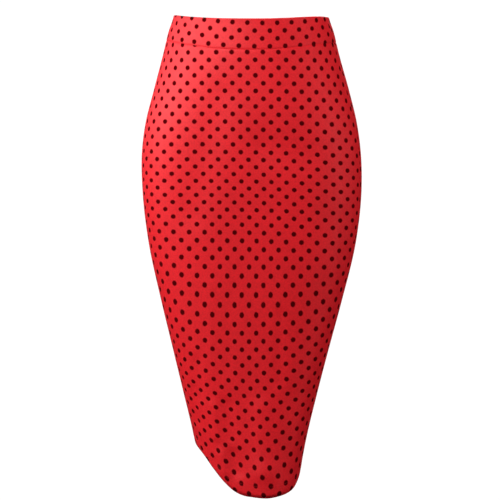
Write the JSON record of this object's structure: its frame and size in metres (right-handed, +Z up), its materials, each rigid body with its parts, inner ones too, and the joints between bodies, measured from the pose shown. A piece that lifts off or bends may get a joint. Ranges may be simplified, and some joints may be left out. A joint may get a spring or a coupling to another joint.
{
  "type": "pencil skirt",
  "caption": "High-waisted pull-on knit pencil skirt, filled out over the hips, tapering to a narrow curved hem below the knee, with an open waist and hem.",
  "frame": {"origin": "middle of the waist opening, level with the top edge at the front", "axes": "+Z up out of the waist, -Y towards the front of the skirt, +X towards the right of the picture"},
  "size_m": [0.34, 0.2248, 0.7326],
  "materials": {
    "dotted_knit": "red stretch knit with small black dots, soft satin sheen"
  },
  "bodies": {
    "root": {"waistband_front": "dotted_knit", "waistband_back": "dotted_knit", "skirt_front": "dotted_knit", "skirt_back": "dotted_knit"}
  },
  "joints": []
}
